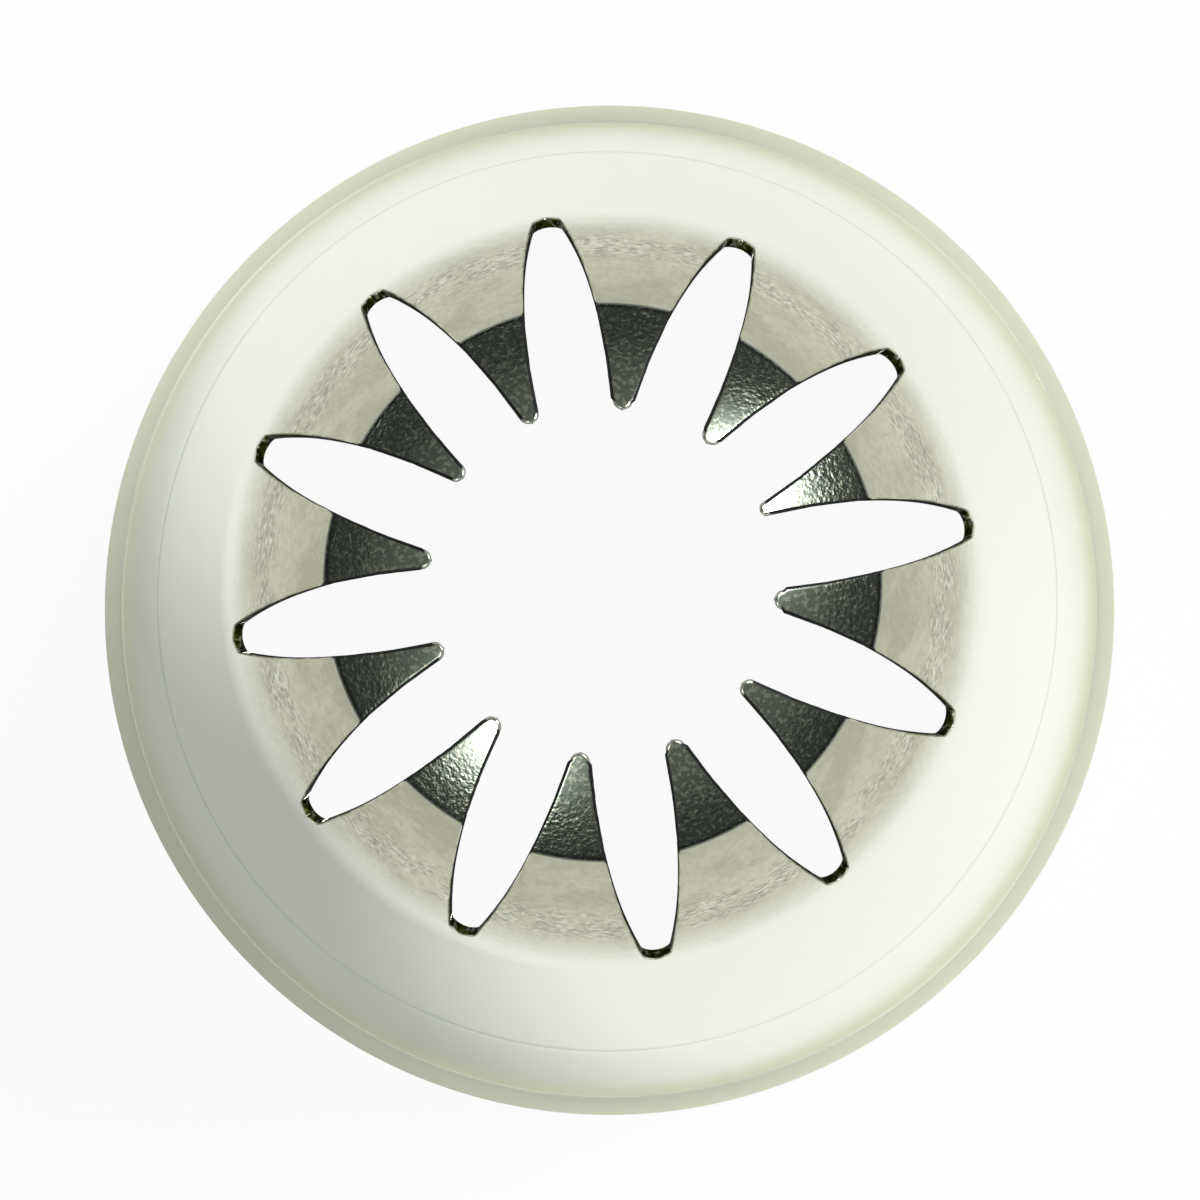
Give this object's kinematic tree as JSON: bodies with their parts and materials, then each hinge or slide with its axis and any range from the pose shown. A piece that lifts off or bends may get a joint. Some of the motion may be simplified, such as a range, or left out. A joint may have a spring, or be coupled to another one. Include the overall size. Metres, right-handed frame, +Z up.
{
  "type": "piping nozzle",
  "caption": "Large open star piping nozzle of thin drawn steel: a conical shell on a rolled rim, with slots between pointed teeth that bend in around the mouth.",
  "frame": {"origin": "centre of the base, on the plane that the rolled rim rests on", "axes": "+Z up along the nozzle's axis, from the rolled rim to the tips of the teeth; +X through the middle of one slot"},
  "size_m": [0.032, 0.032, 0.044],
  "materials": {
    "drawn_steel": "bright drawn sheet",
    "crown_steel": "bright, scuffed by forming"
  },
  "bodies": {
    "root": {"rolled_rim": "drawn_steel", "lower_wall": "drawn_steel", "upper_wall": "drawn_steel", "shoulder": "crown_steel", "tooth_01": "crown_steel", "tooth_02": "crown_steel", "tooth_03": "crown_steel", "tooth_04": "crown_steel", "tooth_05": "crown_steel", "tooth_06": "crown_steel", "tooth_07": "crown_steel", "tooth_08": "crown_steel", "tooth_09": "crown_steel", "tooth_10": "crown_steel", "tooth_11": "crown_steel", "tooth_12": "crown_steel"}
  },
  "joints": []
}
